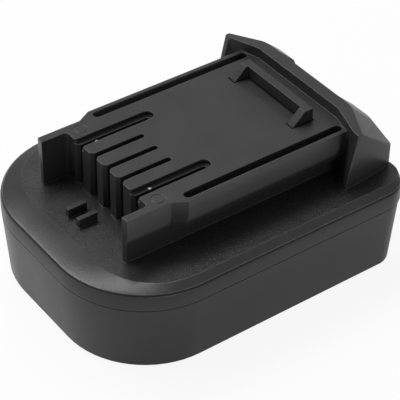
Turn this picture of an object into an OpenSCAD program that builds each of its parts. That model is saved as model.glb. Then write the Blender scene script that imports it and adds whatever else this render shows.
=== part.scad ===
// Slide-on battery adapter for cordless tools.
// X runs across the adapter, Y from the terminal end to the latch end, Z up.
// The origin is at the middle of the footprint, on the surface it stands on.

/* [Base] */
// Width of the base at the parting line
base_w = 77.5; // [74:0.5:86]
// Length of the base
base_l = 100.6; // [98:0.1:112]
// Height of the lower housing
skirt_h = 21.5; // [20.5:0.5:28]
// Height of the upright band of the top housing
band_h = 5.3; // [4.4:0.1:8]
// Height of the bevel from the band up to the deck
bevel_h = 0.7; // [0.5:0.05:2]
// Width of the bevel along the sides
bevel_side = 3.5; // [2:0.1:4.5]
// Width of the bevel at the front
bevel_front = 8.5; // [4:0.5:9]
// Radius of the rounded edge between the band and the bevel
edge_r = 1.5; // [0.8:0.1:2]
// Radius of the front corners
front_r = 27.5; // [20:0.5:30]
// Radius of the rear corners
rear_r = 9.5; // [8:0.2:13]
// How far the bottom edge is drawn in at the sides
draft_side = 1.35; // [0.5:0.05:2.5]
// How far the bottom edge is drawn in at the front
draft_front = 1.7; // [0.5:0.1:3]
// How far the bottom edge is drawn in at the rear
draft_rear = 3.5; // [0.5:0.05:3.8]
// How far the lower housing's rear lies inside the band
rear_step = 1.2; // [0:0.1:1.4]
// Radius of the rounded bottom edge
bottom_r = 1.2; // [0.5:0.1:2]
// Wall of both housings
wall = 2.2; // [1.8:0.1:2.6]
// Open line between the two housings
reveal = 0.2; // [0.15:0.05:0.6]

/* [Platform] */
// Height of the rail platform above the deck
platform_h = 14.7; // [14:0.1:18]
// From the front of the base to the front face of the platform
platform_setback = 22.8; // [20:0.1:24]
// Width over the rails
rail_w = 48.5; // [47:0.1:52]
// Upright face of a rail
rail_face_h = 4.65; // [4:0.05:5.5]
// Height of the sloping underside of a rail
rail_slope_h = 5; // [3.5:0.1:5.5]
// How far that underside slopes in
rail_slope_in = 1.4; // [0.5:0.1:1.8]
// Width of the neck under the rails
neck_w = 42; // [41:0.1:43]
// Wall of the neck
neck_wall = 2.4; // [2:0.1:2.6]
// Thickness of the platform's top
plate_t = 2.6; // [2.3:0.1:3.2]
// Thickness of the platform's front wall
front_wall = 2; // [1.6:0.1:2.4]
// Width over the two ears
ear_w = 43.9; // [43.4:0.1:46]
// Thickness of an ear at its top
ear_t = 2.4; // [2:0.1:2.8]
// Length of the ears in front of the platform
ear_l = 8.1; // [5:0.1:10]
// Depth of the sloping tip of an ear
ear_tip = 0.3; // [0.2:0.1:1.5]
// Fillet between an ear and the platform's front
ear_fillet = 1.2; // [0.5:0.1:2]
// From the platform's front to the start of the rails' lead-in
lead_in_start = 5.8; // [4:0.1:7]
// Length of the rails' lead-in
lead_in_l = 4.2; // [2:0.1:5]
// Distance between the two side grooves
groove_pitch = 43.44; // [43:0.02:44]
// Width of a side groove
groove_w = 2.6; // [2:0.1:2.8]
// Depth of a side groove
groove_depth = 5; // [2:0.1:6]
// From the platform's front to the grooves
groove_front = 10.2; // [9:0.1:16]
// From the grooves to the rear wall
groove_rear = 1.7; // [1:0.05:6]

/* [Terminal slots] */
// Distance between the two power slots
power_pitch = 26.95; // [26:0.05:28]
// Width of a power slot at the top
power_slot_w = 3.8; // [3:0.1:4]
// Depth of the ledges in a power slot
ledge_depth = 1.45; // [1:0.05:1.8]
// Width of the blade gap in a power slot
blade_gap_w = 1.5; // [1.4:0.1:1.8]
// Length of a power slot
power_slot_l = 24.5; // [20:0.25:30]
// Distance between neighbouring signal slots
signal_pitch = 6.36; // [6:0.02:6.6]
// Width of a signal slot
signal_slot_w = 1.7; // [1.4:0.1:1.9]
// Length of a signal slot
signal_slot_l = 16.75; // [15:0.25:20]
// Chamfer at the mouth of each slot
mouth_chamfer = 1; // [0.4:0.1:1.2]
// Diameter of the moulding marks on the platform
mark_d = 4; // [3:0.1:4.5]

/* [Coding ribs] */
// Height of the coding ribs on the deck
rib_h = 2.8; // [1:0.1:4]
// Thickness of a coding rib
rib_t = 1.4; // [1:0.1:2]
// Length of a coding rib
rib_l = 6; // [3:0.1:7]
// Distance between the coding ribs
rib_pitch = 5.3; // [4:0.1:8]
// How far the pair of ribs stands to the left of the middle
rib_offset = 1.4; // [0:0.1:4]
// From the ribs to the platform's front
rib_gap = 4.3; // [2:0.1:5]

/* [Rear block] */
// From the rear of the base to the wall behind the platform
wall_setback = 12.6; // [12.4:0.1:13.6]
// Height of the wall's rim above the platform
rim_h = 3.35; // [2.5:0.05:5]
// Thickness of the rim
rim_t = 3.85; // [3.5:0.05:4.2]
// Half of the rim's straight middle
rim_straight = 16.8; // [14:0.1:18]
// Radius of the bend at each end of the straight middle
rim_bend_r = 10; // [6:0.5:14]
// Width over the wings at the top
wing_top_w = 60.8; // [58:0.1:62]
// Width over the wings at the deck
wing_foot_w = 61; // [58:0.1:63]
// How far the wing tips reach ahead of the wall at the top
wing_top_lead = 2.8; // [1.5:0.1:4]
// How far they reach ahead at the deck
wing_foot_lead = 6.4; // [5:0.1:7]
// Thickness of a wing tip at the top
wing_tip_t = 1.3; // [1:0.1:2]
// How far the wing tips lie below the rim
wing_tip_drop = 0.9; // [0.4:0.1:1.6]
// Width of the block's rear face
block_rear_w = 57.4; // [54:0.1:58]
// From the rear of the base to the block's rear face
block_setback = 0.6; // [0.4:0.05:1.2]
// Height of the block's upright rear face
block_face_h = 6.85; // [5:0.05:8]
// Radius of the block's rear corners
block_corner_r = 1.5; // [1:0.1:4]
// Radius of the shoulders
shoulder_r = 8; // [6:0.1:9]
// Half distance between the shoulders' centres
shoulder_x = 19.5; // [18:0.1:20]
// How far the shoulders' crown lies below the rim
shoulder_drop = 5.4; // [5:0.1:7]
// How far the crown lies in front of the rear face
shoulder_in = 2.3; // [1.8:0.1:3]

/* [Latch] */
// Width of the hook
hook_w = 29.2; // [24:0.1:30]
// Width of each of the hook's arms
hook_arm = 2.5; // [2:0.1:4]
// Length of the hook from its nose to its rear face
hook_l = 7; // [6:0.1:8]
// Thickness of the hook's cross bar
hook_bar = 2.4; // [2:0.1:3]
// Length of the flat top of the hook's arms
hook_flat = 3; // [2.5:0.1:4]
// Height of the hook above the platform
hook_h = 3.8; // [3:0.1:4.2]
// From the hook to the rear wall
hook_gap = 6.1; // [5:0.1:7]
// How far the latch sinks when the button is pressed
latch_travel = 4.2; // [4:0.1:4.4]
// Clearance round the hook and the button
latch_clear = 0.35; // [0.25:0.05:0.5]
// Thickness of the slider plate
slider_t = 2.5; // [2:0.1:3]
// From the platform's top down to the slider plate
slider_drop = 9.65; // [9:0.05:10]
// Width of the release button's recess
recess_w = 27; // [26:0.1:29]
// Height of the recess floor above the deck
recess_floor = 7.5; // [6.9:0.1:8]
// How far the button's top lies below the rim
button_drop = 2.2; // [1.8:0.1:3]
// Height of the button's rear edge above the recess floor
button_rear_h = 1.2; // [0.8:0.1:2]
// Diameter of the guide posts
post_d = 4; // [3.5:0.1:4.5]
// Distance between the guide posts
post_pitch = 18; // [16:0.5:19]
// Running clearance of the slider on its posts
post_clear = 0.08; // [0.05:0.01:0.1]
// Wire of the latch springs
spring_wire = 0.7; // [0.5:0.05:0.8]
// Middle diameter of the latch springs
spring_d = 6.2; // [6:0.1:6.6]
// Curls in a latch spring
spring_curls = 5; // [4:1:6]

/* [Battery bay] */
// From the parting line down to the bay's roof
roof_drop = 3.8; // [3.4:0.1:5]
// Thickness of the bay's roof
roof_t = 3; // [2.5:0.1:4]
// Solid side between the bay and the outside, at the parting line
bay_side = 10.5; // [9.5:0.1:11]
// How far the bay's lips reach in
bay_lip = 3; // [1.5:0.1:4]
// Height of the bay's lips
bay_lip_h = 4.5; // [3:0.1:6]
// From the bay's front end to the platform's front
bay_lead = 6.35; // [6:0.05:7]
// Depth of the pocket that the battery's own catch falls into
catch_depth = 2; // [1:0.1:2.2]
// Width of that pocket
catch_w = 20; // [12:0.5:24]
// Length of that pocket
catch_l = 5; // [3:0.1:6]
// From that pocket to the rear of the base
catch_rear = 5; // [4:0.1:7]

/* [Contacts] */
// Half height of the gap that a clip's jaws leave for a blade
jaw_gap = 0.42; // [0.3:0.02:0.5]
// Sheet of the clips
clip_t = 0.5; // [0.4:0.05:0.55]
// Width over a power clip
power_clip_w = 3.8; // [3.4:0.1:4]
// Length of a power clip
power_clip_l = 11; // [8:0.1:12]
// Width over a signal clip
signal_clip_w = 3.2; // [2.8:0.1:3.4]
// Length of a signal clip
signal_clip_l = 8; // [6:0.1:9]
// Thickness of the power blades
power_blade_t = 0.8; // [0.6:0.1:1]
// Height of the power blades
power_blade_h = 6; // [4.5:0.1:6.4]
// Reach of the power blades into the bay
power_blade_l = 12.5; // [9:0.5:14]
// Thickness of the signal blades
signal_blade_t = 0.6; // [0.5:0.1:0.8]
// Height of the signal blades
signal_blade_h = 4.5; // [3:0.1:6]
// Reach of the signal blades into the bay
signal_blade_l = 9; // [6:0.5:12]
// Width of the blade carrier
blade_carrier_w = 46; // [45:0.1:48]
// Length of the blade carrier
blade_carrier_l = 7; // [6.4:0.1:8]
// Height of the blade carrier
blade_carrier_h = 9.2; // [8.8:0.1:9.6]
// Slack round a contact where it passes through another piece
contact_clear = 0.15; // [0.1:0.05:0.25]

/* [Circuit board] */
// Width of the circuit board
board_w = 45; // [45:0.5:48]
// Thickness of the circuit board
board_t = 1.6; // [1:0.1:2]
// Height of the standoffs under the board
standoff_h = 2; // [1.6:0.1:2.4]
// Thickness of the bus bars
bus_t = 0.8; // [0.5:0.1:1]
// Width of the bus bars
bus_w = 5; // [4:0.1:5.4]

/* [Fasteners] */
// Diameter of the housing screws
screw_d = 2.6; // [2.4:0.1:2.8]
// Diameter of their heads
screw_head_d = 4.6; // [4.2:0.1:4.8]
// Height of their heads
screw_head_h = 1.8; // [1.4:0.1:2.2]
// Length of their shanks
screw_l = 11; // [9:0.1:11.2]
// Depth at which their heads sit in the lower housing
screw_seat = 12; // [10:0.1:13]
// Diameter of the bosses
boss_d = 6.4; // [6:0.1:6.8]
// Diameter of the board's screws
board_screw_d = 2; // [1.8:0.1:2.2]
// Diameter of the heads of the board's screws
board_head_d = 3.6; // [3.4:0.1:3.8]
// Length of the shanks of the board's screws
board_screw_l = 4.5; // [4:0.1:5]
// Slack of a screw in a hole that it passes through
screw_clear = 0.15; // [0.1:0.05:0.3]

/* [Hidden] */
$fn = 64;

// Overlap that lets joined or cut shapes pass each other
lap = 0.5;
// Thickness of the slices that a blended shape is drawn between
slice = 0.02;
// Slack between pieces that lie side by side inside the housing
inner_gap = 0.3;
// Slack of a screw in the hole that its thread bites
thread_clear = 0.05;
// Slack between the button's pegs and their sockets
peg_clear = 0.05;

// Heights of the base and the platform
half_w = base_w / 2;
front_y = -base_l / 2;
rear_y = base_l / 2;
band_z = skirt_h + band_h;
deck_z = band_z + bevel_h;
top_z = deck_z + platform_h;
rim_z = top_z + rim_h;
ceiling_z = top_z - plate_t;

// Places along the platform
platform_y = front_y + platform_setback;
ear_y = platform_y - ear_l;
wall_y = rear_y - wall_setback;
rim_back_y = wall_y + rim_t;
lead_start_y = platform_y + lead_in_start;
lead_end_y = lead_start_y + lead_in_l;
block_rear_y = rear_y - block_setback;
block_inner_y = block_rear_y - wall;

// Half widths of the platform
rail_half = rail_w / 2;
neck_half = neck_w / 2;
ear_half = ear_w / 2;
ear_inner = ear_half - ear_t;
core_half = neck_half - neck_wall;
block_core_half = shoulder_x + inner_gap;
rail_break_z = top_z - rail_face_h;
rail_low_z = rail_break_z - rail_slope_h;

// Slot positions across the platform
power_x = power_pitch / 2;
signal_xs = [-signal_pitch, 0, signal_pitch];

// Heights inside the housing
roof_z = skirt_h - roof_drop;
bay_top_z = roof_z - roof_t;
board_z = roof_z + standoff_h;
board_top_z = board_z + board_t;

// The battery bay
bay_half = half_w - bay_side;
bay_gap_half = bay_half - bay_lip;
bay_front_y = platform_y - bay_lead;

// The latch
hook_half = hook_w / 2;
hook_rear_y = wall_y - hook_gap;
hook_nose_y = hook_rear_y - hook_l;
slider_z = top_z - slider_drop;
slider_low_z = slider_z - slider_t;
slider_half = core_half - 1.1;
stop_inner = hook_half + 0.8;
post_y = hook_rear_y + 3.75;
post_top_z = slider_z + 1.5;
guide_boss_h = 3;
guide_boss_r = post_d / 2 + 1.6;
recess_half = recess_w / 2;
recess_z = deck_z + recess_floor;
button_half = recess_half - latch_clear;
button_front_y = rim_back_y + latch_clear;
button_rear_y = block_inner_y - latch_clear;
button_top_z = rim_z - button_drop;
button_edge_z = recess_z + button_rear_h;
button_land = 0.8;
peg_r = 1.5;
peg_h = 3;
peg_x = button_half - 5;
peg_y = (button_front_y + button_rear_y) / 2;
grip_r = 0.45;
grip_count = 4;

// The contacts
carrier_y = platform_y + front_wall + inner_gap;
carrier_rear_y = platform_y + power_slot_l + 3;
carrier_top_z = ceiling_z - inner_gap;
pocket_top_z = carrier_top_z - 2.3;
clip_h = pocket_top_z - board_top_z - inner_gap;
clip_y = platform_y + 5;
jaw_h = 2.8;
tail_in = 2;
tail_l = 2.4;
tail_below = 0.9;
lug_l = 0.8;
lug_reach = 0.6;
lug_t = blade_gap_w / 2 - jaw_gap - 0.03;
blade_root_y = bay_front_y + 1.5;
blade_face_y = bay_front_y + blade_carrier_l;
blade_top_z = bay_top_z - 2.2;
blade_tail_top_z = board_top_z + 1.2;

// The circuit board
board_front_y = bay_front_y + 0.5;
board_latch_gap = 4;
board_rear_y = hook_nose_y - board_latch_gap;
board_edge = 2;
board_screw_x = board_w / 2 - board_edge;
board_screw_front = 8;
board_screw_rear = 4;
board_screw_ys = [platform_y + board_screw_front, board_rear_y - board_screw_rear];
board_head_h = 1.2;
standoff_r = board_screw_d / 2 + 1.4;

// Half width of the contact carrier, which stands between the platform's walls and the board's screws
carrier_half = min(core_half, board_screw_x - board_head_d / 2) - inner_gap;

// The housing screws: two at the front, two at the rear
front_screw_x = 20;
front_screw_in = 9.25;
rear_screw_in = 6.4;
rear_screw_ahead = 6.85;
screw_places = [
    [front_screw_x, front_y + front_screw_in],
    [half_w - rear_screw_in, wall_y - rear_screw_ahead]
];
carrier_screw_x = blade_carrier_w / 2 - 3;
carrier_screw_y = bay_front_y + blade_carrier_l / 2;
head_recess = 2;

shell = "#242527";
shell_dark = "#1b1c1e";
moulding = "#2c2c2e";
copper = "#b87845";
plated = "#c9c7c0";
steel = "#9a9ca0";

// A copy on each side of the middle plane
module both_sides() {
    children();
    mirror([1, 0, 0]) children();
}

// An outline in Y and Z, extruded over a width that is centred on X
module profile_x(points, width) {
    rotate([90, 0, 90])
        translate([0, 0, -width / 2])
            linear_extrude(width) polygon(points);
}

// An outline in X and Z, extruded from one Y to another
module profile_y(points, y0, y1) {
    translate([0, y1, 0])
        rotate([90, 0, 0])
            linear_extrude(y1 - y0) polygon(points);
}

// A box given by its two corners
module box(low, high) {
    translate(low) cube(high - low);
}

// The base's outline, drawn in from the parting line's outline
module plan(side, front, rear) {
    half = half_w - side;
    y0 = front_y + front;
    y1 = rear_y - rear;
    rf = front_r - max(side, front);
    rr = rear_r - max(side, rear);
    both_sides() {
        translate([half - rf, y0 + rf]) circle(rf);
        translate([half - rr, y1 - rr]) circle(rr);
    }
    translate([-half, y0 + rf]) square([2 * half, y1 - rr - y0 - rf]);
    translate([rf - half, y0]) square([2 * (half - rf), y1 - y0]);
    translate([rr - half, y1 - rr - lap]) square([2 * (half - rr), rr + lap]);
}

// A level slab of that outline
module slab(z, h, side, front, rear) {
    translate([0, 0, z]) linear_extrude(h) plan(side, front, rear);
}

// A slot in plan, from a front edge to a round rear end
module slot_plan(x, y0, length, width, chamfer) {
    y1 = y0 + length;
    r = width / 2;
    translate([x, y1 - r]) circle(r);
    translate([x - r, y0 - lap]) square([width, length - r + lap]);
    translate([x, y0])
        polygon([[-r - chamfer - lap, -lap], [r + chamfer + lap, -lap], [r, chamfer], [-r, chamfer]]);
}

// The deck, its bevel and its band
module base_top_form() {
    low_z = skirt_h + reveal / 2;
    rear_share = 0.2;
    hull() {
        slab(low_z, band_z - edge_r - low_z, 0, 0, 0);
        for (a = [30 : 30 : 90]) {
            inset = edge_r * (1 - cos(a));
            slab(band_z - edge_r * (1 - sin(a)) - slice, slice, inset, inset, inset * rear_share);
        }
        slab(deck_z - slice, slice, bevel_side, bevel_front, edge_r * rear_share);
    }
}

// The space under the deck
module base_top_hollow() {
    low_z = skirt_h - lap;
    hull() {
        slab(low_z, band_z - wall - low_z, wall, wall, wall);
        slab(deck_z - wall - slice, slice, bevel_side + wall, bevel_front + wall, wall);
    }
}

// Section of a rail or an ear, whose face starts its slope at outer
module rail_section(inner, outer, low, slope_in) {
    polygon([
        [inner, low], [outer - slope_in, low], [outer, rail_break_z], [outer, top_z], [inner, top_z]
    ]);
}

// A thin slice of that section, standing across Y
module rail_slice(y, outer, slope_in) {
    translate([0, y + slice, 0])
        rotate([90, 0, 0])
            linear_extrude(slice) rail_section(neck_half - lap, outer, rail_low_z, slope_in);
}

// One ear with the lead-in and the rail behind it
module rail_side() {
    ear_slope_in = ear_half - neck_half;
    translate([0, lead_start_y + slice, 0])
        rotate([90, 0, 0])
            linear_extrude(lead_start_y + slice - ear_y)
                rail_section(ear_inner, ear_half, rail_low_z, ear_slope_in);
    box([ear_inner, ear_y, deck_z - lap], [neck_half, platform_y + lap, rail_low_z + lap]);
    hull() {
        rail_slice(lead_start_y, ear_half, ear_slope_in);
        rail_slice(lead_end_y, rail_half, rail_slope_in);
    }
    translate([0, wall_y + lap, 0])
        rotate([90, 0, 0])
            linear_extrude(wall_y + lap - lead_end_y)
                rail_section(neck_half - lap, rail_half, rail_low_z, rail_slope_in);
    translate([ear_inner - ear_fillet, platform_y - ear_fillet, deck_z - lap])
        linear_extrude(top_z - deck_z + lap)
            polygon(concat(
                [for (a = [0 : 15 : 90]) ear_fillet * [cos(a), sin(a)]],
                [[0, ear_fillet + lap], [ear_fillet + lap, ear_fillet + lap], [ear_fillet + lap, 0]]
            ));
}

// The slope that takes off an ear's outer front corner
module ear_tip_cut() {
    translate([0, 0, deck_z])
        linear_extrude(platform_h + lap)
            polygon([
                [ear_inner, ear_y], [ear_half + lap, ear_y + ear_tip * (1 + lap / ear_t)],
                [ear_half + lap, ear_y - lap], [ear_inner, ear_y - lap]
            ]);
}

// The rail platform with its ears
module platform() {
    box([-neck_half, platform_y, deck_z - lap], [neck_half, wall_y + lap, top_z]);
    both_sides() difference() {
        rail_side();
        ear_tip_cut();
    }
}

// The rear block's outline at its rim, half of it
rim_bend_a = atan2(
    rim_back_y - wall_y + wing_top_lead - wing_tip_t, wing_top_w / 2 - rim_straight);
rim_corner_x = rim_straight + 1;
function rim_half() = [
    [rim_corner_x, wall_y - wing_top_lead],
    for (a = [90 - rim_bend_a : rim_bend_a / 4 : 90])
        [rim_straight + rim_bend_r * cos(a), rim_back_y - rim_bend_r + rim_bend_r * sin(a)]
];

// Its outline at the wing tips, half of it
function tip_half() = [
    [wing_top_w / 2, wall_y - wing_top_lead],
    [wing_top_w / 2, wall_y - wing_top_lead + wing_tip_t]
];

// Its outline at the shoulders' crown, half of it
function crown_half() = [
    [wing_top_w / 2, wall_y - wing_top_lead],
    for (a = [20 : 10 : 90])
        [shoulder_x + shoulder_r * cos(a), block_rear_y - shoulder_in - shoulder_r + shoulder_r * sin(a)]
];

// Its outline at the foot, half of it, with the wing tips a lead ahead of the wall
function foot_half(lead) = [
    [wing_foot_w / 2, wall_y - lead],
    for (a = [0 : 15 : 90])
        [block_rear_w / 2 - block_corner_r + block_corner_r * cos(a),
         block_rear_y - block_corner_r + block_corner_r * sin(a)]
];

// A slab of a half outline and its mirror image
module block_slab(z, h, half) {
    translate([0, 0, z]) linear_extrude(h) {
        polygon(concat(half, [[0, half[len(half) - 1][1]], [0, half[0][1]]]));
        mirror([1, 0]) polygon(concat(half, [[0, half[len(half) - 1][1]], [0, half[0][1]]]));
    }
}

// A slab of what lies in front of the wall, with the wing tips a lead ahead of it
module front_slab(z, lead) {
    tip_y = wall_y - lead - wing_tip_t / 2;
    reach = half_w;
    translate([0, 0, z])
        linear_extrude(slice)
            polygon([
                [-rim_corner_x, wall_y], [rim_corner_x, wall_y], [wing_top_w / 2, tip_y],
                [reach, tip_y - reach / 2], [-reach, tip_y - reach / 2], [-wing_top_w / 2, tip_y]
            ]);
}

// The wall behind the platform, its wings and its shoulders
module rear_block() {
    face_lead = wing_foot_lead + (wing_top_lead - wing_foot_lead) * block_face_h / (rim_z - deck_z);
    difference() {
        hull() {
            block_slab(deck_z - lap, slice, foot_half(wing_foot_lead));
            block_slab(deck_z + block_face_h, slice, foot_half(face_lead));
            block_slab(rim_z - shoulder_drop, slice, crown_half());
            block_slab(rim_z - wing_tip_drop - slice, slice, tip_half());
            block_slab(rim_z - slice, slice, rim_half());
        }
        hull() {
            front_slab(deck_z, wing_foot_lead);
            front_slab(rim_z + lap, wing_top_lead);
        }
    }
}

// The space inside the rear block
module rear_block_hollow() {
    back_z = rim_z - shoulder_drop - wall / 2;
    profile_x([
        [wall_y + wall, deck_z - 2 * wall],
        [wall_y + wall, rim_z - plate_t],
        [rim_back_y - lap, rim_z - plate_t],
        [block_rear_y - shoulder_in - wall, back_z],
        [block_inner_y, deck_z + block_face_h],
        [block_inner_y, deck_z - 2 * wall]
    ], 2 * block_core_half);
}

// The space inside the platform, open to the space under the deck
module platform_hollow() {
    box([-core_half, platform_y + front_wall, deck_z - 2 * wall],
        [core_half, wall_y + wall + lap, ceiling_z]);
}

// The two coding ribs on the deck
module coding_ribs() {
    rib_y = platform_y - rib_gap;
    for (x = [-rib_offset - rib_pitch / 2, -rib_offset + rib_pitch / 2])
        box([x - rib_t / 2, rib_y - rib_l, deck_z - lap], [x + rib_t / 2, rib_y, deck_z + rib_h]);
}

// The lip that centres the top housing in the lower one
module closing_lip() {
    lip_t = 1.2;
    lip_h = 2.2;
    fit = 0.15;
    root_z = skirt_h + reveal / 2 + lap;
    inner = wall + fit + lip_t;
    difference() {
        union() {
            slab(root_z, lip_t, wall - lap, wall - lap, wall - lap);
            slab(skirt_h - lip_h, root_z + lap - skirt_h + lip_h, wall + fit, wall + fit, wall + fit + rear_step);
        }
        slab(skirt_h - 2 * lip_h, 4 * lip_h, inner, inner, inner + rear_step);
    }
}

// The stops that hold the sprung slider down inside the platform
module latch_stops() {
    both_sides()
        box([stop_inner, hook_nose_y + 1, slider_z + thread_clear],
            [core_half + lap, hook_rear_y - 1, ceiling_z + lap]);
}

// One upright cylinder at each housing screw
module at_screws() {
    for (p = screw_places)
        both_sides() translate([p[0], p[1], 0]) children();
}

// The slots that the tool's blades run into
module terminal_slots() {
    both_sides() {
        translate([0, 0, top_z - ledge_depth])
            linear_extrude(ledge_depth + lap)
                slot_plan(power_x, platform_y, power_slot_l, power_slot_w, mouth_chamfer / 2);
        translate([0, 0, deck_z])
            linear_extrude(platform_h + lap)
                slot_plan(power_x, platform_y, power_slot_l - (power_slot_w - blade_gap_w) / 2,
                          blade_gap_w, mouth_chamfer);
    }
    for (x = signal_xs)
        translate([0, 0, deck_z])
            linear_extrude(platform_h + lap)
                slot_plan(x, platform_y, signal_slot_l, signal_slot_w, mouth_chamfer);
}

// The closed grooves along the two rails
module side_grooves() {
    y0 = platform_y + groove_front;
    y1 = wall_y - groove_rear;
    r = groove_w / 2;
    both_sides()
        translate([groove_pitch / 2, 0, top_z - groove_depth])
            linear_extrude(groove_depth + lap) {
                translate([0, y0 + r]) circle(r);
                translate([0, y1 - r]) circle(r);
                translate([-r, y0 + r]) square([groove_w, y1 - y0 - groove_w]);
            }
}

// The hook's outline in plan, grown by a clearance
module hook_plan(grow) {
    for (x = [-hook_half, hook_half - hook_arm])
        translate([x - grow, hook_nose_y - grow])
            square([hook_arm + 2 * grow, hook_l + 2 * grow]);
    translate([-hook_half - grow, hook_rear_y - hook_bar - grow])
        square([hook_w + 2 * grow, hook_bar + 2 * grow]);
}

// The recess behind the rim where the release button sits
module button_recess() {
    box([-recess_half, rim_back_y, recess_z], [recess_half, rear_y + lap, rim_z + lap]);
    box([-recess_half, rim_back_y, deck_z - wall], [recess_half, block_inner_y, recess_z + lap]);
}

// Shallow round marks beside the power slots
module moulding_marks() {
    mark_x = (power_x + power_slot_w / 2 + ear_half) / 2;
    mark_y = platform_y + mark_d;
    mark_line = 0.35;
    mark_depth = 0.15;
    both_sides()
        translate([mark_x, mark_y, top_z - mark_depth])
            linear_extrude(mark_depth + lap)
                difference() {
                    circle(d = mark_d);
                    circle(d = mark_d - 2 * mark_line);
                }
}

module top_housing() {
    color(shell) difference() {
        union() {
            difference() {
                union() {
                    base_top_form();
                    platform();
                    rear_block();
                    coding_ribs();
                }
                base_top_hollow();
                platform_hollow();
                rear_block_hollow();
            }
            closing_lip();
            latch_stops();
            at_screws() translate([0, 0, roof_z]) cylinder(d = boss_d, h = deck_z - wall / 2 - roof_z);
        }
        terminal_slots();
        side_grooves();
        translate([0, 0, ceiling_z - lap]) linear_extrude(plate_t + 2 * lap) hook_plan(latch_clear);
        button_recess();
        moulding_marks();
        at_screws()
            translate([0, 0, roof_z - lap])
                cylinder(d = screw_d + 2 * thread_clear, h = screw_seat + screw_l - roof_z + 2 * lap);
    }
}

// The drafted outside of the lower housing
module skirt_form() {
    skirt_top = skirt_h - reveal / 2;
    hull() {
        for (a = [0 : 30 : 90]) {
            z = bottom_r * (1 - cos(a));
            k = 1 - z / skirt_h;
            round_in = bottom_r * (1 - sin(a));
            slab(z, slice, draft_side * k + round_in, draft_front * k + round_in,
                 rear_step + (draft_rear - rear_step) * k + round_in);
        }
        slab(skirt_top - slice, slice, 0, 0, rear_step);
    }
}

// The bay for the battery, open at the rear and below
module battery_bay() {
    box([-bay_half, bay_front_y, bay_lip_h], [bay_half, rear_y + lap, bay_top_z]);
    box([-bay_gap_half, bay_front_y, -lap], [bay_gap_half, rear_y + lap, bay_lip_h + lap]);
    catch_y = rear_y - catch_rear;
    box([-catch_w / 2, catch_y - catch_l, bay_top_z - lap],
        [catch_w / 2, catch_y, bay_top_z + catch_depth]);
}

// Hollows that keep the lower housing's walls even
module skirt_cores() {
    floor_t = 2.5;
    inset = wall + max(draft_side, draft_front);
    intersection() {
        slab(floor_t, roof_z - floor_t + lap, inset, inset, inset);
        box([-half_w, front_y, 0], [half_w, bay_front_y - wall, skirt_h]);
    }
    both_sides()
        box([bay_half + wall, platform_y + lead_in_start, floor_t],
            [half_w - inset, screw_places[1][1] - boss_d, roof_z + lap]);
}

// Holes that the contacts' tails pass through, as upright boxes
module tail_holes(z0, z1) {
    for (x = [-power_x, power_x])
        tail_hole(x, power_blade_t, blade_root_y, z0, z1);
    for (x = signal_xs)
        tail_hole(x, signal_blade_t, blade_root_y, z0, z1);
}

// One such hole, for a tail of thickness t that starts at y0
module tail_hole(x, t, y0, z0, z1) {
    box([x - t / 2 - contact_clear, y0 - contact_clear, z0],
        [x + t / 2 + contact_clear, y0 + tail_l + contact_clear, z1]);
}

module lower_housing() {
    color(shell_dark) difference() {
        union() {
            difference() {
                skirt_form();
                slab(roof_z, roof_drop + lap, wall, wall, wall + rear_step);
                battery_bay();
                skirt_cores();
            }
            at_screws()
                translate([0, 0, screw_seat - wall]) cylinder(d = boss_d, h = roof_z - screw_seat + wall);
            front_screw_tubes();
            for (x = [-post_pitch / 2, post_pitch / 2])
                translate([x, post_y, roof_z - lap]) cylinder(d = post_d, h = post_top_z - roof_z + lap);
            at_board_screws() translate([0, 0, roof_z - lap]) cylinder(r = standoff_r, h = standoff_h + lap);
        }
        at_screws() {
            translate([0, 0, screw_seat - lap]) cylinder(d = screw_d + 2 * screw_clear, h = roof_z);
            translate([0, 0, -lap]) cylinder(d = screw_head_d + 2 * screw_clear, h = screw_seat + lap);
        }
        tail_holes(bay_top_z - lap, roof_z + lap);
        at_board_screws()
            translate([0, 0, board_top_z - board_screw_l - lap])
                cylinder(d = board_screw_d + 2 * thread_clear, h = board_screw_l + lap);
        at_carrier_screws()
            translate([0, 0, bay_top_z - lap])
                cylinder(d = board_screw_d + 2 * thread_clear, h = roof_t - 0.5 + lap);
    }
}

// Tubes that lead the front screws through the hollow behind the front wall
module front_screw_tubes() {
    both_sides()
        translate([screw_places[0][0], screw_places[0][1], lap]) cylinder(d = boss_d + 1, h = roof_z - lap);
}

// One child at each board screw
module at_board_screws() {
    for (y = board_screw_ys)
        both_sides() translate([board_screw_x, y, 0]) children();
}

// One child at each blade carrier screw
module at_carrier_screws() {
    both_sides() translate([carrier_screw_x, carrier_screw_y, 0]) children();
}

// A screw that stands head down, with the head's seat at the origin
module screw(d, head_d, head_h, length) {
    recess_w = d * 0.35;
    recess_l = head_d * 0.6;
    difference() {
        union() {
            translate([0, 0, -head_h]) cylinder(d = head_d, h = head_h);
            cylinder(d = d, h = length);
        }
        for (turn = [0, 90])
            rotate([0, 0, turn])
                box([-recess_l / 2, -recess_w / 2, -head_h - lap],
                    [recess_l / 2, recess_w / 2, -head_h * 0.4]);
    }
}

module housing_screws() {
    color(steel)
        at_screws() translate([0, 0, screw_seat]) screw(screw_d, screw_head_d, screw_head_h, screw_l);
}

module board_screws() {
    color(steel)
        at_board_screws()
            translate([0, 0, board_top_z])
                mirror([0, 0, 1]) screw(board_screw_d, board_head_d, board_head_h, board_screw_l);
}

module carrier_screws() {
    seat_z = bay_top_z - blade_carrier_h + head_recess;
    color(steel)
        at_carrier_screws()
            translate([0, 0, seat_z])
                screw(board_screw_d, board_head_d, board_head_h, roof_z - 0.8 - seat_z);
}

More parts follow.
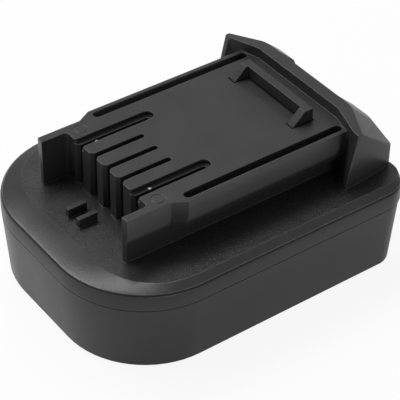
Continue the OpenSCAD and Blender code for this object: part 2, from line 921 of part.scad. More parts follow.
// The hook, from the slider plate up to its ramped arms and its bar
module hook() {
    ramp = [
        [hook_nose_y, slider_low_z], [hook_nose_y, top_z],
        [hook_rear_y - hook_flat, top_z + hook_h], [hook_rear_y, top_z + hook_h],
        [hook_rear_y, slider_low_z]
    ];
    both_sides() translate([hook_half - hook_arm / 2, 0, 0]) profile_x(ramp, hook_arm);
    box([-hook_half, hook_rear_y - hook_bar, slider_low_z], [hook_half, hook_rear_y, top_z + hook_h]);
}

module latch_slider() {
    color(moulding) difference() {
        union() {
            hook();
            box([-slider_half, hook_nose_y, slider_low_z], [slider_half, hook_rear_y, slider_z]);
            box([-button_half, hook_rear_y - lap, slider_low_z], [button_half, button_rear_y, slider_z]);
            for (x = [-post_pitch / 2, post_pitch / 2])
                translate([x, post_y, slider_low_z]) cylinder(r = guide_boss_r, h = slider_t + guide_boss_h);
            for (x = [-peg_x, peg_x])
                translate([x, peg_y, slider_low_z]) cylinder(r = peg_r, h = slider_t + peg_h);
        }
        for (x = [-post_pitch / 2, post_pitch / 2])
            translate([x, post_y, slider_low_z - lap])
                cylinder(d = post_d + 2 * post_clear, h = slider_t + guide_boss_h + 2 * lap);
    }
}

module release_button() {
    slope_y = button_front_y + button_land;
    run = button_rear_y - slope_y;
    drop = button_top_z - button_edge_z;
    side = [
        [button_front_y, slider_z], [button_front_y, button_top_z], [slope_y, button_top_z],
        [button_rear_y, button_edge_z], [button_rear_y, slider_z]
    ];
    color(moulding) difference() {
        union() {
            profile_x(side, 2 * button_half);
            for (i = [1 : grip_count]) {
                k = i / (grip_count + 1);
                translate([-button_half + 2, slope_y + run * k, button_top_z - drop * k])
                    rotate([0, 90, 0]) cylinder(r = grip_r, h = 2 * button_half - 4);
            }
        }
        for (x = [-peg_x, peg_x])
            translate([x, peg_y, slider_z - lap])
                cylinder(r = peg_r + peg_clear, h = peg_h + peg_clear + lap);
    }
}

// Points along the wire of a latch spring
spring_low_z = roof_z + thread_clear + spring_wire / 2;
spring_high_z = slider_low_z - thread_clear - spring_wire / 2;
spring_rings = 8;
wire_sides = 6;
function wire_point(i) =
    let (turn = i / spring_rings, a = 360 * turn)
    [spring_d / 2 * cos(a), spring_d / 2 * sin(a),
     spring_low_z + (spring_high_z - spring_low_z) * turn / spring_curls];
function wire_ring(i) =
    let (p = wire_point(i), a = 360 * i / spring_rings)
    [for (s = [0 : wire_sides - 1])
        let (b = 360 * s / wire_sides, out = spring_wire / 2 * cos(b), rise = spring_wire / 2 * sin(b))
        p + [out * cos(a), out * sin(a), rise]];
spring_ring_count = spring_curls * spring_rings + 1;
spring_points = [for (i = [0 : spring_ring_count - 1]) each wire_ring(i)];
spring_faces = [
    for (i = [0 : spring_ring_count - 2])
        for (s = [0 : wire_sides - 1])
            let (a = i * wire_sides + s, b = i * wire_sides + (s + 1) % wire_sides)
            each [[a, a + wire_sides, b], [b, a + wire_sides, b + wire_sides]],
    for (s = [1 : wire_sides - 2])
        each [
            [0, s, s + 1],
            let (e = (spring_ring_count - 1) * wire_sides) [e, e + s + 1, e + s]
        ]
];
spring_least_gap = min([
    for (i = [0 : spring_ring_count - 1])
        for (j = [i + spring_rings / 2 : 1 : spring_ring_count - 1])
            norm(wire_point(i) - wire_point(j))
]) - spring_wire;
echo(spring_least_gap = spring_least_gap);

// A coiled spring round a guide post on one side
module latch_spring(side) {
    color(steel) translate([side * post_pitch / 2, post_y, 0]) polyhedron(spring_points, spring_faces, 4);
}

// Section of a clip: a base with two jaws that close on a blade and open again above it
module clip_section(width, h) {
    r = width / 2;
    t = clip_t;
    neck_z = h - 7;
    jaw_z = h - jaw_h;
    both_sides() polygon([
        [0, 0], [r, 0], [r, neck_z], [jaw_gap + t, jaw_z], [jaw_gap + 2 * t, h],
        [jaw_gap + t, h], [jaw_gap, jaw_z], [r - t, neck_z - t / 2], [r - t, t], [0, t]
    ]);
}

// A clip at x, with the tail that is soldered into the board
module clip(x, width, length) {
    translate([x, 0, board_top_z]) {
        translate([0, clip_y + length, 0])
            rotate([90, 0, 0])
                linear_extrude(length) clip_section(width, clip_h);
        box([-clip_t / 2, clip_y + tail_in, -board_t - bus_t - tail_below],
            [clip_t / 2, clip_y + tail_in + tail_l, clip_t]);
    }
}

// A power clip with the lug that guides a blade in at the slot's inner ledge
module power_clip(x) {
    ledge_z = top_z - ledge_depth;
    outer = jaw_gap + lug_t;
    jaw_z = board_top_z + clip_h - jaw_h;
    color(plated) {
        clip(x, power_clip_w, power_clip_l);
        translate([x, 0, 0]) mirror([x > 0 ? 0 : 1, 0, 0]) {
            box([-outer, clip_y, jaw_z],
                [-jaw_gap, clip_y + lug_l, ledge_z + lug_t + thread_clear]);
            box([-outer - lug_reach, clip_y, ledge_z + thread_clear],
                [-jaw_gap, clip_y + lug_l, ledge_z + lug_t + thread_clear]);
        }
    }
}

module power_clip_positive() power_clip(power_x);
module power_clip_negative() power_clip(-power_x);

// A signal clip in slot number i
module signal_clip(i) {
    color(plated) clip(signal_xs[i], signal_clip_w, signal_clip_l);
}

// The pocket of one clip in the contact carrier, and the blade's way into it
module clip_pocket(x, width, length, gap, slot_l) {
    r = width / 2 + inner_gap;
    box([x - r, clip_y - inner_gap, board_top_z - lap],
        [x + r, clip_y + length + inner_gap, pocket_top_z]);
    box([x - gap / 2, carrier_y - lap, deck_z],
        [x + gap / 2, platform_y + slot_l + lap, carrier_top_z + lap]);
}

module contact_carrier() {
    color(moulding) difference() {
        box([-carrier_half, carrier_y, board_top_z], [carrier_half, carrier_rear_y, carrier_top_z]);
        for (x = [-power_x, power_x])
            clip_pocket(x, power_clip_w, power_clip_l, blade_gap_w, power_slot_l);
        for (x = signal_xs)
            clip_pocket(x, signal_clip_w, signal_clip_l, signal_slot_w, signal_slot_l);
    }
}

// Holes for the tails of the clips
module clip_tail_holes(z0, z1) {
    for (x = concat([-power_x, power_x], signal_xs))
        tail_hole(x, clip_t, clip_y + tail_in, z0, z1);
}

module circuit_board() {
    color("#1f5a37") difference() {
        box([-board_w / 2, board_front_y, board_z], [board_w / 2, board_rear_y, board_top_z]);
        tail_holes(board_z - lap, board_top_z + lap);
        clip_tail_holes(board_z - lap, board_top_z + lap);
        at_board_screws()
            translate([0, 0, board_z - lap])
                cylinder(d = board_screw_d + 2 * screw_clear, h = board_t + 2 * lap);
    }
}

// The parts behind the contact carrier, in a row across the board
parts_y = (carrier_rear_y + board_rear_y) / 2;
transistor_x = -10;
transistor_w = 10;
transistor_l = 9;
transistor_h = 4.4;
tab_margin = 0.5;
tab_l = 1.5;
tab_h = 1.3;
capacitor_x = 10;
capacitor_r = 4;
capacitor_h = 11;
sleeve_groove = 0.4;
chip_w = 4;
chip_l = 5;
chip_h = 1.5;
pin_pitch = 1.27;
pin_w = 0.4;
pin_reach = 1;
fuse_x = 0.4;
fuse_w = 6;
fuse_l = 2.5;
fuse_h = 2.3;
fuse_y = (parts_y + chip_l / 2 + board_rear_y) / 2;

// A block on the board, given by its middle and its size
module board_block(x, y, width, length, h) {
    translate([x, y, board_top_z + h / 2]) cube([width, length, h], center = true);
}

module power_transistor() {
    color(shell_dark) {
        board_block(transistor_x, parts_y, transistor_w, transistor_l, transistor_h);
        board_block(transistor_x, parts_y + transistor_l / 2, transistor_w - 2 * tab_margin, 2 * tab_l, tab_h);
    }
}

module capacitor() {
    r = capacitor_r;
    h = capacitor_h;
    g = sleeve_groove;
    color("#2b3a5a")
        translate([capacitor_x, parts_y, board_top_z])
            rotate_extrude()
                polygon([
                    [0, 0], [r, 0], [r, 3 * g], [r - g, 4 * g], [r - g, 5 * g], [r, 6 * g],
                    [r, h - g], [r - g, h], [r - 2 * g, h - g / 2], [0, h - g / 2]
                ]);
}

module controller_chip() {
    color(shell_dark) {
        board_block(0, parts_y, chip_w, chip_l, chip_h);
        for (i = [-1.5 : 1 : 1.5])
            board_block(0, parts_y + i * pin_pitch, chip_w + 2 * pin_reach, pin_w, pin_w);
    }
}

module fuse() {
    color("#b8b2a2") board_block(fuse_x, fuse_y, fuse_w, fuse_l, fuse_h);
}

// A strip under the board from a power blade's tail to a power clip's tail
module bus_bar(x) {
    color(copper) difference() {
        box([x - bus_w / 2, blade_root_y - 0.7, board_z - bus_t],
            [x + bus_w / 2, clip_y + tail_in + tail_l + 1, board_z]);
        tail_hole(x, power_blade_t, blade_root_y, board_z - bus_t - lap, board_z + lap);
        tail_hole(x, clip_t, clip_y + tail_in, board_z - bus_t - lap, board_z + lap);
    }
}

module bus_bar_positive() bus_bar(power_x);
module bus_bar_negative() bus_bar(-power_x);

// A blade in the bay, with the tail that reaches up through the board
module blade(x, t, h, reach) {
    color(plated) {
        box([x - t / 2, blade_root_y, blade_top_z - h],
            [x + t / 2, blade_face_y + reach, blade_top_z]);
        box([x - t / 2, blade_root_y, blade_top_z - lap],
            [x + t / 2, blade_root_y + tail_l, blade_tail_top_z]);
    }
}

module power_blade_positive() blade(power_x, power_blade_t, power_blade_h, power_blade_l);
module power_blade_negative() blade(-power_x, power_blade_t, power_blade_h, power_blade_l);

// A signal blade in place number i
module signal_blade(i) blade(signal_xs[i], signal_blade_t, signal_blade_h, signal_blade_l);

// The slot that a blade is pushed into, with its tail's way up
module blade_seat(x, t, h) {
    r = t / 2 + contact_clear / 2;
    box([x - r, blade_root_y, blade_top_z - h - contact_clear / 2],
        [x + r, blade_face_y + lap, blade_top_z]);
    box([x - r, blade_root_y, blade_top_z - lap],
        [x + r, blade_root_y + tail_l + contact_clear, bay_top_z + lap]);
}

module blade_carrier() {
    low_z = bay_top_z - blade_carrier_h;
    color(moulding) difference() {
        box([-blade_carrier_w / 2, bay_front_y, low_z],
            [blade_carrier_w / 2, blade_face_y, bay_top_z]);
        for (x = [-power_x, power_x])
            blade_seat(x, power_blade_t, power_blade_h);
        for (x = signal_xs)
            blade_seat(x, signal_blade_t, signal_blade_h);
        at_carrier_screws() {
            translate([0, 0, low_z - lap])
                cylinder(d = board_screw_d + 2 * screw_clear, h = blade_carrier_h + 2 * lap);
            translate([0, 0, low_z - lap])
                cylinder(d = board_head_d + 2 * screw_clear, h = head_recess + lap);
        }
    }
}

top_housing();
lower_housing();
latch_slider();
release_button();
latch_spring(-1);  // latch_spring_left
latch_spring(1);  // latch_spring_right
contact_carrier();
power_clip_positive();
power_clip_negative();
signal_clip(0);  // signal_clip_left
signal_clip(1);  // signal_clip_middle
signal_clip(2);  // signal_clip_right
circuit_board();
power_transistor();
capacitor();
controller_chip();
fuse();
bus_bar_positive();
bus_bar_negative();
blade_carrier();
power_blade_positive();
power_blade_negative();
signal_blade(0);  // signal_blade_left
signal_blade(1);  // signal_blade_middle
signal_blade(2);  // signal_blade_right
housing_screws();
board_screws();
carrier_screws();
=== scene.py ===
"""Looks of the tool battery adapter: materials, rounded edges, studio light and the camera."""

import math

import bpy
from mathutils import Matrix, Vector


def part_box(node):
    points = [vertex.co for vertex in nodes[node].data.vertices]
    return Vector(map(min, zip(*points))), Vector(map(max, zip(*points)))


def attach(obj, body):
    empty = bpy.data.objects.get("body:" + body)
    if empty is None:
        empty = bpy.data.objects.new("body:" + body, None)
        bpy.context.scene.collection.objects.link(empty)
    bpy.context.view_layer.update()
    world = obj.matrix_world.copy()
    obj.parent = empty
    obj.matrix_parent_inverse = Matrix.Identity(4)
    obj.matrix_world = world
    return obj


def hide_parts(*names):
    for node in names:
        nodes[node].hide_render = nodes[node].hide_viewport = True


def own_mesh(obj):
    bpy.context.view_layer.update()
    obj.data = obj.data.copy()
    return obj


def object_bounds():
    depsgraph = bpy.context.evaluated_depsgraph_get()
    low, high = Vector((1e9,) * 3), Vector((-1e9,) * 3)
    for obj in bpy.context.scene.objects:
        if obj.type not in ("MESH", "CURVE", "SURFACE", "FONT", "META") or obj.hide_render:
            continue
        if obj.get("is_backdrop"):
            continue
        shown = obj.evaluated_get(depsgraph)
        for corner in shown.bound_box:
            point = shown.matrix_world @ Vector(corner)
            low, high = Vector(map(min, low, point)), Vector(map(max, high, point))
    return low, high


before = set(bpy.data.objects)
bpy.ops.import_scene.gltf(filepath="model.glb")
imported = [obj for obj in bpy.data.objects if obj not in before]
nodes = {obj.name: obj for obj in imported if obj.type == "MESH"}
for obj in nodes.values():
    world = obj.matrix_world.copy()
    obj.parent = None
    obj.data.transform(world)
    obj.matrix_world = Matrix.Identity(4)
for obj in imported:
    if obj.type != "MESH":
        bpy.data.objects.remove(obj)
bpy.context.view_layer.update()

MM = 0.001

# Heights between which the deck and its bevel lie, and the slack for picking their faces, in millimetres.
BAND_Z = 26.2
DECK_Z = 27.5
FACE_SLACK = 0.1

# How far up a face's normal points at least: on the grained faces, and on the deck inside its bevel.
GRAIN_UP = 0.15
DECK_UP = 0.9995

# Places of the deck's and the bevel's materials among those of the top housing.
DECK_SLOT = 1
BEVEL_SLOT = 2

# Corners past this angle stay sharp, and split vertices closer than this gap are joined.
SHARP_ANGLE = math.radians(18)
WELD_GAP = 0.002 * MM

# How far up a normal points on a level face at least, and on a face that slopes away from it at most.
LEVEL_UP = 0.99999
SLOPE_UP = 0.999

# The strips on the rails' outer sides that are painted paler as painted light, in millimetres: how far out
# they are full, between which heights they fade in, where they end at the rear wall, and how long the
# other fades are.
STRIP_X = 21.4
STRIP_LOW_Z = 34.0
STRIP_FULL_Z = 35.4
STRIP_END_Y = 34.0
STRIP_FADE = 1.0

# How far across a strip's normal points where the painted light starts and where it is full, and its
# painted grey.
ACROSS_START = 0.86
ACROSS_FULL = 0.98
STRIP_PAINTED_LIGHT_GREY = (0.08, 0.08, 0.08)

# How much stronger blue is than red and green on the paled edges, which are partly wear and partly painted
# highlight.
GLINT_AND_WEAR_BLUE = 1.02

# The latch springs: round wire in even curls.
SPRING_WIRE = 0.7 * MM
SPRING_CURLS = 5

# The room: the side that the backdrop takes, how far toward that side its fade starts and ends, how
# bright it is before and after the fade, and the share of that light that falls on the adapter.
BACKDROP_SIDE = (-0.62, 0.46, 0.63)
FADE_START = -0.3
FADE_END = 0.8
ROOM_DIM = 0.12
ROOM_PALE = 0.64
ROOM_LIGHT = 0.7

# The floor: half its side in metres, its gap under the adapter, and the share of plain white
# that reflections and the camera see in it.
FLOOR_HALF = 6.0
FLOOR_GAP = 0.05 * MM
FLOOR_MIRRORED = 0.4
FLOOR_SEEN = 0.9

# How far the lamps stand from the adapter, and the height they aim at, in metres.
LAMP_DISTANCE = 0.8
LAMP_AIM_Z = 0.02

# The photograph's camera: angles in degrees, then the point it looks at, its distance, its lens
# and its sensor's width in millimetres.
CAMERA_AZIMUTH = 53.526
CAMERA_ELEVATION = 39.048
CAMERA_ROLL = 0.885
CAMERA_TARGET = (1.7, 2.687, 18.317)
CAMERA_DISTANCE = 488.837
CAMERA_LENS = 155.167
CAMERA_SENSOR = 36.0

WHITE = (1.0, 1.0, 1.0, 1.0)


# Shader helpers


class Tree:
    """The node tree of a material or a world, with short ways to add nodes and to join them."""

    def __init__(self, owner):
        owner.use_nodes = True
        self.graph = owner.node_tree

    def fill(self, node, inputs):
        """Gives a node's inputs, by name or number, a value each or another node's output."""
        for key, value in inputs.items():
            if isinstance(value, bpy.types.NodeSocket):
                self.graph.links.new(value, node.inputs[key])
            else:
                node.inputs[key].default_value = value

    def add(self, kind, inputs, **settings):
        """Adds a node with its settings, and fills its inputs."""
        node = self.graph.nodes.new(kind)
        for key, value in settings.items():
            setattr(node, key, value)
        self.fill(node, inputs)
        return node

    def times(self, a, b):
        """The product of two values."""
        return self.add("ShaderNodeMath", {0: a, 1: b}, operation="MULTIPLY").outputs["Value"]


class Surface(Tree):
    """A material with its Principled shader, and the patterns that give it its looks."""

    def __init__(self, name):
        self.material = bpy.data.materials.new(name)
        super().__init__(self.material)
        self.shader = self.graph.nodes["Principled BSDF"]
        self.place = self.add("ShaderNodeTexCoord", {}).outputs["Object"]

    def noise(self, place, size_mm, detail=2.0, rough=0.5):
        """A noise whose features measure about a size in millimetres."""
        inputs = {"Vector": place, "Scale": 1 / (size_mm * MM), "Detail": detail, "Roughness": rough}
        return self.add("ShaderNodeTexNoise", inputs).outputs["Fac"]

    def ramp(self, value, low, at_low, high, at_high):
        """A grey or a colour that changes between two places along a value."""
        node = self.add("ShaderNodeValToRGB", {"Fac": value})
        for point, place, tone in zip(node.color_ramp.elements, (low, high), (at_low, at_high)):
            point.position = place
            colour = (tone, tone, tone) if isinstance(tone, float) else tone
            point.color = (*colour, 1.0)
        return node.outputs["Color"]

    def tone(self, pattern, dark, pale):
        """A grey or a colour from dark to pale over the middle of a pattern."""
        return self.ramp(pattern, low=0.3, at_low=dark, high=0.7, at_high=pale)

    def gloss(self, pattern, rough, below, above):
        """A roughness that strays below and above a value over most of a pattern."""
        return self.ramp(pattern, low=0.2, at_low=rough - below, high=0.8, at_high=rough + above)

    def share(self, value, start, full):
        """A share that goes from zero to one between two sizes of a value."""
        inputs = {"Value": value, "From Min": start, "From Max": full}
        return self.add("ShaderNodeMapRange", inputs).outputs["Result"]

    def split(self, vector):
        """A vector's X without its sign, its Y and its Z."""
        parts = self.add("ShaderNodeSeparateXYZ", {"Vector": vector}).outputs
        x = self.add("ShaderNodeMath", {0: parts["X"]}, operation="ABSOLUTE").outputs["Value"]
        return x, parts["Y"], parts["Z"]

    def blend(self, share, colour, other):
        """A colour that turns into another one by a share."""
        inputs = {"Factor": share, "A": colour, "B": (*other, 1.0)}
        return self.add("ShaderNodeMix", inputs, data_type="RGBA").outputs["Result"]

    def bump(self, pattern, depth_mm):
        """Raises the surface by a pattern, and returns the node that does."""
        node = self.add("ShaderNodeBump", {"Height": pattern, "Distance": depth_mm * MM})
        self.fill(self.shader, {"Normal": node.outputs["Normal"]})
        return node


# Materials


def on_strips(surface):
    """A share that is one on the rails' and ears' outer sides, where their rounding grows and painted
    light goes, and zero elsewhere.
    """
    x, y, z = surface.split(surface.place)
    outside = surface.share(x, (STRIP_X - STRIP_FADE) * MM, STRIP_X * MM)
    upper = surface.share(z, STRIP_LOW_Z * MM, STRIP_FULL_Z * MM)
    ahead = surface.share(y, STRIP_END_Y * MM, (STRIP_END_Y - STRIP_FADE) * MM)
    return surface.times(surface.times(outside, upper), ahead)


def moulded(name, dark, pale, rough, grain_mm, depth_mm, round_mm, worn_and_glint,
            strip_mm=0.0, blunt=0.72, crisp=0.995, mottle=0.0):
    """Moulded plastic: a tone that drifts a little, a grain of a size and depth, and rounded edges.
    Edges are painted paler by how far the rounding turns their normal, partly as wear and partly as a
    painted highlight: blunt and crisp are the cosines of full paling and of none. Where the rails' strips
    are given a radius of their own, their upright sides are painted a paler grey as well, which is painted
    light. Mottle is how much duller the grain's tops are than its pits."""
    surface = Surface(name)
    drift = surface.noise(surface.place, size_mm=9, detail=4.0, rough=0.6)
    speck = surface.noise(surface.place, size_mm=0.35)
    grain = surface.noise(surface.place, grain_mm, detail=3.0, rough=0.55)

    rounding = surface.add("ShaderNodeBevel", {"Radius": round_mm * MM}, samples=6)
    normal = rounding.outputs["Normal"]
    flat = surface.add("ShaderNodeNewGeometry", {}).outputs["Normal"]
    turn = surface.add("ShaderNodeVectorMath", {0: normal, 1: flat}, operation="DOT_PRODUCT")
    # Edges are painted paler here: partly wear, partly a painted highlight that stands in for edge glints.
    edge = surface.ramp(turn.outputs["Value"], low=blunt, at_low=1.0, high=crisp, at_high=0.0)
    colour = surface.blend(surface.times(edge, speck), surface.tone(drift, dark, pale),
                           (worn_and_glint, worn_and_glint, worn_and_glint * GLINT_AND_WEAR_BLUE))
    # Painted light: the rails' upright sides are painted a paler grey where their normal faces straight
    # across.
    if strip_mm:
        strips = on_strips(surface)
        radius = {"Value": strips, "To Min": round_mm * MM, "To Max": strip_mm * MM}
        surface.fill(rounding, {"Radius": surface.add("ShaderNodeMapRange", radius).outputs["Result"]})
        straight = surface.share(surface.split(normal)[0], ACROSS_START, ACROSS_FULL)
        colour = surface.blend(surface.times(strips, straight), colour, STRIP_PAINTED_LIGHT_GREY)

    gloss = surface.gloss(drift, rough, below=0.05, above=0.05)
    dull = surface.add("ShaderNodeMath", {0: grain, 1: mottle, 2: gloss}, operation="MULTIPLY_ADD")
    surface.fill(surface.shader, {"Base Color": colour, "Roughness": dull.outputs["Value"],
                                  "IOR": 1.5, "Specular IOR Level": 0.36})
    surface.fill(surface.bump(grain, depth_mm), {"Normal": normal})
    return surface.material


def metal(name, dark, pale, rough, line_mm):
    """Rolled or plated metal: fine lines along the strip, uneven shine and a little tarnish."""
    drawn_along_y = (1.0, 0.06, 1.0)
    surface = Surface(name)
    drawn = surface.add("ShaderNodeMapping", {"Vector": surface.place, "Scale": drawn_along_y})
    lines = surface.noise(drawn.outputs["Vector"], line_mm, detail=3.0)
    cloud = surface.noise(surface.place, size_mm=2.5, detail=3.0, rough=0.6)
    surface.fill(surface.shader, {"Base Color": surface.tone(cloud, dark, pale), "Metallic": 1.0,
                                  "Roughness": surface.gloss(lines, rough, below=0.08, above=0.1)})
    surface.bump(lines, depth_mm=0.01)
    return surface.material


def lacquer(name, dark, pale, rough, cell_mm):
    """A lacquered or sleeved surface with a faint woven or drawn texture under the gloss."""
    surface = Surface(name)
    cells = surface.add("ShaderNodeTexVoronoi", {"Vector": surface.place, "Scale": 1 / (cell_mm * MM)})
    drift = surface.noise(surface.place, size_mm=3, detail=3.0)
    surface.fill(surface.shader, {"Base Color": surface.tone(drift, dark, pale),
                                  "Roughness": surface.gloss(drift, rough, below=0.05, above=0.05)})
    surface.bump(cells.outputs["Distance"], depth_mm=0.01)
    return surface.material


housing_smooth = moulded("housing_smooth", dark=0.025, pale=0.03, rough=0.34, grain_mm=0.16,
                         depth_mm=0.012, round_mm=0.4, worn_and_glint=0.2, strip_mm=0.55)
housing_grain = moulded("housing_grain", dark=0.02, pale=0.026, rough=0.12, grain_mm=0.4,
                        depth_mm=0.1, round_mm=0.4, worn_and_glint=0.05, mottle=0.3)
# The narrow blunt and crisp values paint the bevel's faint crease lines pale: a painted highlight.
bevel_grain = moulded("bevel_grain", dark=0.02, pale=0.026, rough=0.06, grain_mm=0.4,
                      depth_mm=0.032, round_mm=0.3, worn_and_glint=0.2, blunt=0.995, crisp=0.9995, mottle=0.3)
skirt_smooth = moulded("skirt_smooth", dark=0.025, pale=0.03, rough=0.36, grain_mm=0.16,
                       depth_mm=0.014, round_mm=0.35, worn_and_glint=0.08)
latch_plastic = moulded("latch_plastic", dark=0.02, pale=0.024, rough=0.38, grain_mm=0.3,
                        depth_mm=0.06, round_mm=0.35, worn_and_glint=0.14)
insulator = moulded("insulator", dark=0.008, pale=0.01, rough=0.45, grain_mm=0.15,
                    depth_mm=0.006, round_mm=0.15, worn_and_glint=0.014)
plated = metal("plated_contact", dark=(0.5, 0.49, 0.46), pale=(0.66, 0.65, 0.61),
               rough=0.28, line_mm=0.08)
copper = metal("bus_copper", dark=(0.55, 0.27, 0.14), pale=(0.7, 0.38, 0.22),
               rough=0.3, line_mm=0.08)
steel = metal("zinc_steel", dark=(0.42, 0.43, 0.44), pale=(0.56, 0.57, 0.58),
              rough=0.32, line_mm=0.06)
laminate = lacquer("board_laminate", dark=(0.015, 0.09, 0.04), pale=(0.022, 0.13, 0.055),
                   rough=0.3, cell_mm=0.5)
sleeve = lacquer("capacitor_sleeve", dark=(0.02, 0.03, 0.075), pale=(0.03, 0.045, 0.1),
                 rough=0.28, cell_mm=0.7)
ceramic = lacquer("fuse_ceramic", dark=(0.5, 0.46, 0.38), pale=(0.6, 0.56, 0.47),
                  rough=0.4, cell_mm=0.25)


# The CAD nodes


def materials_of(name):
    """The materials of a CAD node, with the one for most of its faces first."""
    if name == "top_housing":
        return housing_smooth, housing_grain, bevel_grain
    if name == "lower_housing":
        return (skirt_smooth,)
    if name in ("latch_slider", "release_button"):
        return (latch_plastic,)
    if name in ("contact_carrier", "blade_carrier", "power_transistor", "controller_chip"):
        return (insulator,)
    if "clip" in name or "blade" in name:
        return (plated,)
    if "bus_bar" in name:
        return (copper,)
    if name == "circuit_board":
        return (laminate,)
    if name == "capacitor":
        return (sleeve,)
    if name == "fuse":
        return (ceramic,)
    return (steel,)


def dress(name):
    """Gives a CAD node its materials, the first one on every face."""
    mesh = nodes[name].data
    mesh.materials.clear()
    for material in materials_of(name):
        mesh.materials.append(material)
    for face in mesh.polygons:
        face.material_index = 0


def soften(name):
    """Joins a CAD node's split faces, so that its curves shade smooth.
    Corners past an angle stay sharp, and so does the border of each level face."""
    mesh = nodes[name].data

    def ends(edge):
        return tuple(sorted(tuple(round(c / MM, 3) for c in mesh.vertices[i].co) for i in edge))

    meets = {}
    for face in mesh.polygons:
        for edge in face.edge_keys:
            meets.setdefault(ends(edge), []).append(face.normal)
    for edge in mesh.edges:
        normals = meets[ends(edge.vertices)]
        ups = [normal.z for normal in normals]
        border = max(ups) > LEVEL_UP and min(ups) < SLOPE_UP
        if border or min(normal.dot(normals[0]) for normal in normals) < math.cos(SHARP_ANGLE):
            edge.use_edge_sharp = True
    split = mesh.attributes.get("custom_normal")
    if split:
        mesh.attributes.remove(split)
    mesh.shade_smooth()
    weld = nodes[name].modifiers.new("weld", "WELD")
    weld.merge_threshold = WELD_GAP


for name in nodes:
    dress(name)
for name in ("top_housing", "lower_housing", "latch_slider", "release_button"):
    soften(name)

# The deck and its bevel carry the moulded grain, which is shinier on the bevel.
for face in nodes["top_housing"].data.polygons:
    z = face.center.z / MM
    if BAND_Z - FACE_SLACK < z < DECK_Z + FACE_SLACK and face.normal.z > GRAIN_UP:
        face.material_index = DECK_SLOT if face.normal.z > DECK_UP else BEVEL_SLOT


# The latch springs


def wire_coil(name, low, high, curls, wire, steps=24, sides=10):
    """A coil of round wire that fills a box, standing on the box's floor."""
    middle = (low + high) / 2
    radius = (high.x - low.x - wire) / 2
    rise = high.z - low.z - wire
    count = curls * steps + 1
    verts, faces = [], []
    for i in range(count):
        turn = 2 * math.pi * i / steps
        out = Vector((math.cos(turn), math.sin(turn), 0.0))
        centre = Vector((middle.x, middle.y, low.z + wire / 2 + rise * i / (count - 1))) + out * radius
        for k in range(sides):
            lean = 2 * math.pi * k / sides
            verts.append(centre + (out * math.cos(lean) + Vector((0, 0, math.sin(lean)))) * wire / 2)
    for i in range(count - 1):
        for k in range(sides):
            a, b = i * sides + k, i * sides + (k + 1) % sides
            faces.append((a, a + sides, b + sides, b))
    faces.append(tuple(range(sides)))
    faces.append(tuple(range((count - 1) * sides, count * sides))[::-1])
    mesh = bpy.data.meshes.new(name)
    mesh.from_pydata(verts, [], faces)
    mesh.shade_smooth()
    coil = bpy.data.objects.new(name, mesh)
    bpy.context.scene.collection.objects.link(coil)
    return coil


for side in ("left", "right"):
    node = f"latch_spring_{side}"
    low, high = (Vector(corner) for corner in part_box(node))
    coil = wire_coil(f"coil_{side}", low, high, SPRING_CURLS, SPRING_WIRE)
    coil.data.materials.append(steel)
    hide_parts(node)
    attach(coil, "housing")
    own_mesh(coil)


# The stage


def by_ray(tree, plain, mirrored, seen):
    """A value for lighting rays, one for reflected and passing rays, and one for the camera's own."""
    path = tree.add("ShaderNodeLightPath", {}).outputs
    rays = {0: path["Is Glossy Ray"], 1: path["Is Transmission Ray"]}
    either = tree.add("ShaderNodeMath", rays, operation="MAXIMUM").outputs["Value"]
    value = plain
    for ray, other in ((either, mirrored), (path["Is Camera Ray"], seen)):
        value = tree.add("ShaderNodeMix", {"Factor": ray, "A": value, "B": other}).outputs["Result"]
    return value


def make_floor():
    """A plain pale floor that shows white and keeps a faint shadow under the adapter."""
    corners = ((-1, -1), (1, -1), (1, 1), (-1, 1))
    mesh = bpy.data.meshes.new("floor")
    mesh.from_pydata([(x * FLOOR_HALF, y * FLOOR_HALF, -FLOOR_GAP) for x, y in corners],
                     [], [(0, 1, 2, 3)])
    floor = bpy.data.objects.new("floor", mesh)
    bpy.context.scene.collection.objects.link(floor)
    material = bpy.data.materials.new("floor")
    tree = Tree(material)
    shader = tree.graph.nodes["Principled BSDF"]
    tree.fill(shader, {"Base Color": (0.9, 0.9, 0.9, 1.0), "Roughness": 0.9, "Specular IOR Level": 0.1})
    glow = tree.add("ShaderNodeEmission", {"Color": WHITE, "Strength": 1.0})
    white = by_ray(tree, plain=0.0, mirrored=FLOOR_MIRRORED, seen=FLOOR_SEEN)
    mix = tree.add("ShaderNodeMixShader", {"Fac": white, 1: shader.outputs["BSDF"],
                                           2: glow.outputs["Emission"]})
    tree.fill(tree.graph.nodes["Material Output"], {"Surface": mix.outputs["Shader"]})
    mesh.materials.append(material)
    floor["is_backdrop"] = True


def make_world():
    """A room that is white where the camera sees it, pale behind the adapter and dim behind the camera."""
    world = bpy.data.worlds.new("studio")
    bpy.context.scene.world = world
    tree = Tree(world)
    around = tree.add("ShaderNodeTexCoord", {}).outputs["Generated"]
    toward = tree.add("ShaderNodeVectorMath", {0: around, 1: BACKDROP_SIDE}, operation="DOT_PRODUCT")
    fade = {"Value": toward.outputs["Value"], "From Min": FADE_START, "From Max": FADE_END,
            "To Min": ROOM_DIM, "To Max": ROOM_PALE}
    pale = tree.add("ShaderNodeMapRange", fade, interpolation_type="SMOOTHSTEP").outputs["Result"]
    light = by_ray(tree, plain=tree.times(pale, ROOM_LIGHT), mirrored=pale, seen=1.0)
    tree.fill(tree.graph.nodes["Background"], {"Color": WHITE, "Strength": light})


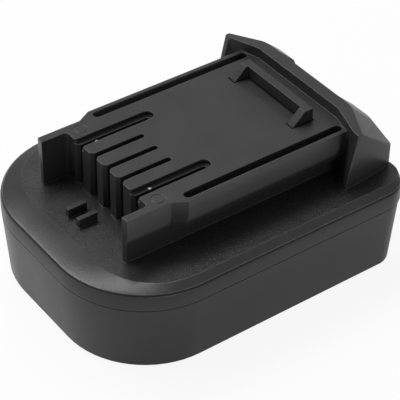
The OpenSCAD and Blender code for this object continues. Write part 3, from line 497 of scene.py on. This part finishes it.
def outward(azimuth, elevation):
    """The way out from the adapter at two angles in degrees, the first one counted from its front."""
    a, e = math.radians(azimuth), math.radians(elevation)
    return Vector((math.sin(a) * math.cos(e), -math.cos(a) * math.cos(e), math.sin(e)))


def softbox(name, azimuth, elevation, size, power):
    """A square area lamp that faces the adapter, with its size in metres and its power in watts."""
    out = outward(azimuth, elevation)
    light = bpy.data.lights.new(name, "AREA")
    light.shape = "SQUARE"
    light.size = size
    light.energy = power
    lamp = bpy.data.objects.new(name, light)
    bpy.context.scene.collection.objects.link(lamp)
    lamp.location = out * LAMP_DISTANCE + Vector((0.0, 0.0, LAMP_AIM_Z))
    lamp.rotation_mode = "QUATERNION"
    lamp.rotation_quaternion = out.to_track_quat("Z", "Y")


def make_camera():
    """The photograph's camera: a long lens from the right front, looking down at the adapter."""
    azimuth, roll = math.radians(CAMERA_AZIMUTH), math.radians(CAMERA_ROLL)
    back = outward(CAMERA_AZIMUTH, CAMERA_ELEVATION)
    right = Vector((math.cos(azimuth), math.sin(azimuth), 0.0))
    up = back.cross(right)
    right, up = (right * math.cos(roll) + up * math.sin(roll),
                 up * math.cos(roll) - right * math.sin(roll))
    lens = bpy.data.cameras.new("camera")
    lens.lens = CAMERA_LENS
    lens.sensor_width = CAMERA_SENSOR
    lens.clip_start = 0.01
    lens.clip_end = 50.0
    camera = bpy.data.objects.new("camera", lens)
    bpy.context.scene.collection.objects.link(camera)
    eye = Vector(CAMERA_TARGET) * MM + back * CAMERA_DISTANCE * MM
    camera.matrix_world = Matrix.Translation(eye) @ Matrix((right, up, back)).transposed().to_4x4()
    bpy.context.scene.camera = camera


make_floor()
make_world()
softbox("left", azimuth=284, elevation=55, size=0.35, power=2.0)
softbox("front_left", azimuth=315, elevation=60, size=0.35, power=2.0)
softbox("right", azimuth=80, elevation=9, size=0.35, power=1.05)
softbox("behind", azimuth=242, elevation=64, size=0.2, power=0.9)
make_camera()
bpy.context.scene.view_settings.view_transform = "Standard"

low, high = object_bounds()
